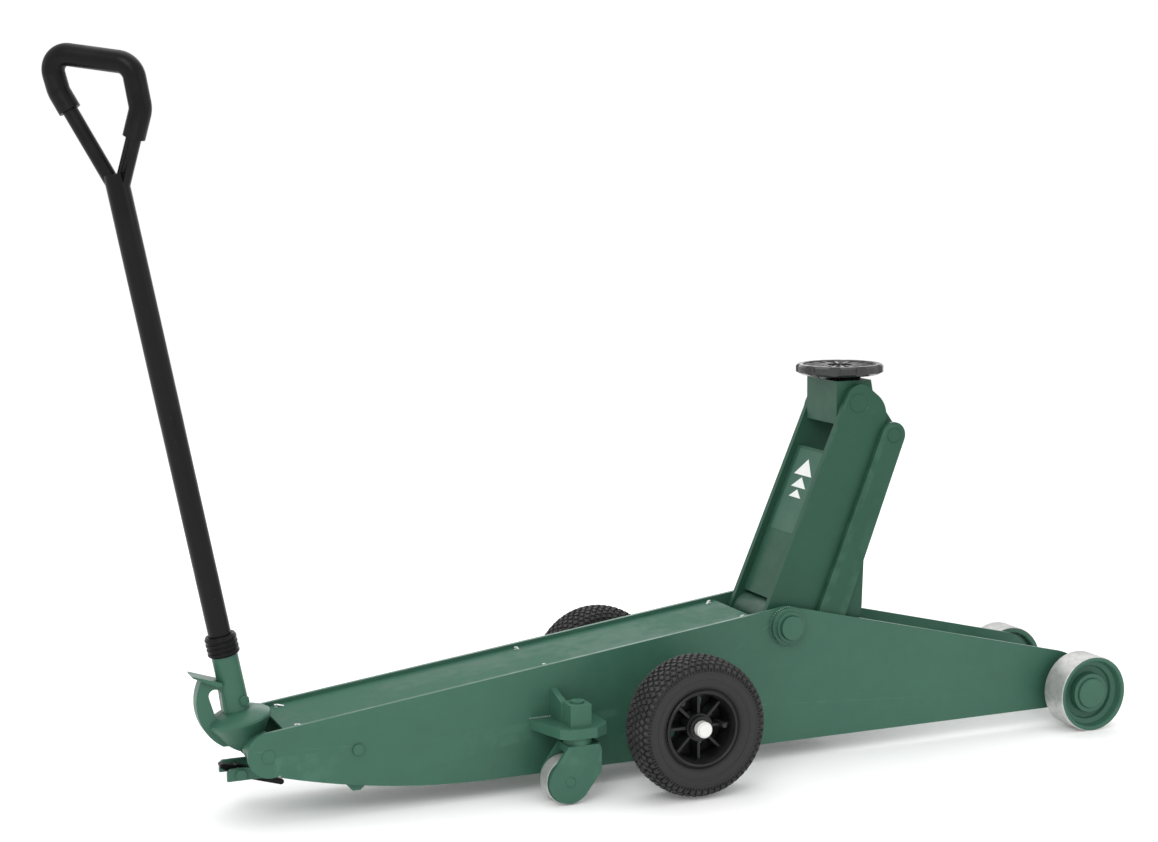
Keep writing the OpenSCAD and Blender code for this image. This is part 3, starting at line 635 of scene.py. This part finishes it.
def addScrewHead(shape, place):
    made = bmesh.ops.create_cone(shape, cap_ends=True, segments=screw["sides"], radius1=screw["radius"],
                                 radius2=screw["radius"] * screw["topShare"], depth=screw["height"])["verts"]
    bmesh.ops.translate(shape, verts=made, vec=(0, 0, screw["height"] / 2))
    ownFaces = (face for face in shape.faces if all(vertex in made for vertex in face.verts))
    face = max(ownFaces, key=lambda face: face.calc_center_median().z)
    bmesh.ops.inset_region(shape, faces=[face], thickness=screw["rim"], use_even_offset=True)
    # The inner ring is drawn in to a hexagon, then sunk.
    for vertex in face.verts:
        turn = math.degrees(math.atan2(vertex.co.y, vertex.co.x)) % 60 - 30
        reach = screw["socket"] * math.cos(math.radians(30)) / math.cos(math.radians(turn))
        vertex.co.xy = Vector((vertex.co.x, vertex.co.y)).normalized() * reach
    made = {*made, *face.verts}
    sunk = bmesh.ops.extrude_discrete_faces(shape, faces=[face])["faces"][0]
    bmesh.ops.translate(shape, verts=sunk.verts, vec=(0, 0, -screw["depth"]))
    bmesh.ops.transform(shape, verts=list({*made, *sunk.verts}), matrix=place)


def makeScrews():
    low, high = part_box("top_cover")
    slope = math.atan2(high.z - low.z, high.x - low.x)
    up = Vector((-math.sin(slope), 0, math.cos(slope)))
    shape = bmesh.new()
    for points in looseParts("cover_screws"):
        top = max(point.dot(up) for point in points)
        middle = sum(points, Vector()) / len(points)
        head = middle + up * (top - middle.dot(up) - screw["height"])
        addScrewHead(shape, Matrix.Translation(head) @ Matrix.Rotation(-slope, 4, "Y"))
    addPiece("coverScrewHeads", shape, "frame", ["cover_screws"], "zinc", 0.0004)


makeScrews()
print("cover screws")


# Arrow signs on the arm's cover

signs = {"fromTop": 0.006, "panelLength": 0.165, "panelWidth": 0.092, "panelThick": 0.0006, "arrowThick": 0.0004,
         "arrowWidths": [0.068, 0.056, 0.046], "arrowLengths": [0.033, 0.021, 0.016], "firstTip": 0.018,
         "gap": 0.004}


def plateAlong(shape, outline, thick, place):
    made = [shape.verts.new((x, y, 0)) for x, y in outline]
    face = shape.faces.new(made)
    grown = bmesh.ops.extrude_face_region(shape, geom=[face])["geom"]
    risen = [item for item in grown if isinstance(item, bmesh.types.BMVert)]
    bmesh.ops.translate(shape, verts=risen, vec=(0, 0, thick))
    every = list({*made, *risen})
    bmesh.ops.transform(shape, verts=every, matrix=place)
    bmesh.ops.recalc_face_normals(shape, faces=shape.faces)


def signPlane():
    # The arm's cover is a flat sheet, and its rear face gives the signs' plane. X runs up the arm.
    up = (pivots["saddle_carrier"] - pivots["lift_arm"]).normalized()
    rear = Vector((-up.z, 0, up.x))
    points = [vertex.co for vertex in frame["nodes"]["arm_cover"].data.vertices]
    topEnd = max(points, key=lambda p: round(p.dot(up), 3) * 10 + p.dot(rear))
    lowEnd = min(points, key=lambda p: round(p.dot(up), 3) * 10 - p.dot(rear))
    along = Vector((topEnd.x - lowEnd.x, 0, topEnd.z - lowEnd.z)).normalized()
    out = along.cross(Vector((0, 1, 0)))
    if out.dot(rear) < 0:
        out = -out
    origin = Vector((topEnd.x, 0, topEnd.z)) - along * signs["fromTop"]
    turned = Matrix((along, out.cross(along), out)).transposed().to_4x4()
    return Matrix.Translation(origin) @ turned


def makeSigns():
    base = signPlane()
    panel = bmesh.new()
    half = signs["panelWidth"] / 2
    long = signs["panelLength"]
    plateAlong(panel, [(-long, -half), (0, -half), (0, half), (-long, half)], signs["panelThick"], base)
    addPiece("signPanel", panel, "lift_arm", [], "signPanel", 0.0002)
    arrows = bmesh.new()
    raised = base @ Matrix.Translation((0, 0, signs["panelThick"]))
    tip = -signs["firstTip"]
    for width, length in zip(signs["arrowWidths"], signs["arrowLengths"]):
        foot = tip - length
        plateAlong(arrows, [(tip, 0), (foot, width / 2), (foot, -width / 2)], signs["arrowThick"], raised)
        tip = foot - signs["gap"]
    addPiece("signArrows", arrows, "lift_arm", [], "signWhite", 0.0001)


makeSigns()
print("signs")


# Weld beads

weld = {"radius": 0.0030, "spacing": 0.0034, "ringSteps": 48, "aroundShaft": 0.0352, "aroundAxle": 0.0402,
        "aroundRoller": 0.0312, "bracketLevels": [0.119, 0.137], "bracketInset": 0.002}


def weldRun(shape, points):
    # Overlapping ripples in a row along the path
    for start, end in zip(points, points[1:]):
        run = end - start
        along = run.to_track_quat("X", "Z").to_matrix().to_4x4() @ Matrix.Diagonal((0.8, 1.0, 1.0, 1.0))
        steps = max(1, round(run.length / weld["spacing"]))
        for k in range(steps):
            made = bmesh.ops.create_icosphere(shape, subdivisions=1, radius=weld["radius"])["verts"]
            at = Matrix.Translation(start + run * (k / steps))
            bmesh.ops.transform(shape, verts=made, matrix=at @ along)


def circlePath(centre, radius):
    turns = [math.tau * k / weld["ringSteps"] for k in range(weld["ringSteps"] + 1)]
    return [centre + Vector((radius * math.cos(turn), 0, radius * math.sin(turn))) for turn in turns]


def makeWelds():
    rings = {"lift_arm": weld["aroundShaft"], "wheel_left": weld["aroundAxle"],
             "front_roller_left": weld["aroundRoller"]}
    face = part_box("side_plate_left")[1].y
    low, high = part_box("caster_bracket_left")
    shape = bmesh.new()
    for way in sides.values():
        for joint, radius in rings.items():
            at = pivots[joint]
            weldRun(shape, circlePath(Vector((at.x, way * face, at.z)), radius))
        for level in weld["bracketLevels"]:
            weldRun(shape, [Vector((low.x + weld["bracketInset"], way * face, level)),
                            Vector((high.x - weld["bracketInset"], way * face, level))])
    addPiece("weldBeads", shape, "frame", [], "weldGreen")


makeWelds()
print("welds")


# Floor, light and camera

studio = {"floorSize": 160.0, "floorTone": (0.93, 0.93, 0.93), "floorGlow": 0.09, "skyStrength": 1.0,
          "aim": (0, 0, 0.35)}
# Each lamp: place, size of its square and power in watts
lamps = {
    "keyLight": ((-2.6, -3.4, 3.6), 2.0, 58),
    "fillLight": ((3.0, -3.0, 2.2), 2.6, 14),
    "topLight": ((0.2, 0.8, 4.0), 3.2, 42),
    "backLight": ((1.5, 4.0, 2.6), 2.4, 26),
}


def makeFloor():
    shape = bmesh.new()
    bmesh.ops.create_grid(shape, x_segments=1, y_segments=1, size=studio["floorSize"] / 2)
    mesh = bpy.data.meshes.new("floor")
    shape.to_mesh(mesh)
    shape.free()
    floor = bpy.data.objects.new("floor", mesh)
    scene.collection.objects.link(floor)
    material, tree, shader, place = newMaterial("floorPale")
    tone = remap(tree, noise(tree, place, 3.0, 2.0), 0.3, 0.7)
    pale = studio["floorTone"]
    dimmer = tuple(c * 0.985 for c in pale)
    tree.links.new(mixColour(tree, tone, dimmer, pale), shader.inputs["Base Color"])
    shader.inputs["Roughness"].default_value = 0.8
    shader.inputs["Emission Color"].default_value = (1, 1, 1, 1)
    shader.inputs["Emission Strength"].default_value = studio["floorGlow"]
    mesh.materials.append(material)


def makeLights():
    world = bpy.data.worlds.new("studioSky")
    world.use_nodes = True
    sky = world.node_tree.nodes["Background"]
    sky.inputs["Color"].default_value = (1, 1, 1, 1)
    sky.inputs["Strength"].default_value = studio["skyStrength"]
    scene.world = world
    for name, (at, size, power) in lamps.items():
        data = bpy.data.lights.new(name, "AREA")
        data.shape = "SQUARE"
        data.size = size
        data.energy = power
        light = bpy.data.objects.new(name, data)
        scene.collection.objects.link(light)
        light.location = at
        light.rotation_euler = (Vector(studio["aim"]) - Vector(at)).to_track_quat("-Z", "Y").to_euler()


# The first three are distances in metres from the arm's pivot, the middle plane and the floor.
cameraFrom = {"behindPivot": -1.8018, "beside": -3.4400, "height": 1.1213, "yaw": 22.42, "pitch": 7.08,
              "roll": -0.53, "lens": 63.47}


def makeCamera():
    data = bpy.data.cameras.new("mainCamera")
    data.lens = cameraFrom["lens"]
    data.sensor_width = 36.0
    camera = bpy.data.objects.new("mainCamera", data)
    scene.collection.objects.link(camera)
    yaw, pitch, roll = (math.radians(cameraFrom[key]) for key in ("yaw", "pitch", "roll"))
    ahead = Vector((math.sin(yaw) * math.cos(pitch), math.cos(yaw) * math.cos(pitch), -math.sin(pitch)))
    right = Vector((math.cos(yaw), -math.sin(yaw), 0))
    up = right.cross(ahead)
    tiltedRight = right * math.cos(roll) + up * math.sin(roll)
    tiltedUp = up * math.cos(roll) - right * math.sin(roll)
    turned = Matrix((tiltedRight, tiltedUp, -ahead)).transposed().to_4x4()
    camera.matrix_world = Matrix.Translation((pivots["lift_arm"].x + cameraFrom["behindPivot"],
                                              cameraFrom["beside"], cameraFrom["height"])) @ turned
    scene.camera = camera


makeFloor()
makeLights()
makeCamera()
scene.view_settings.view_transform = "Standard"
print("studio")
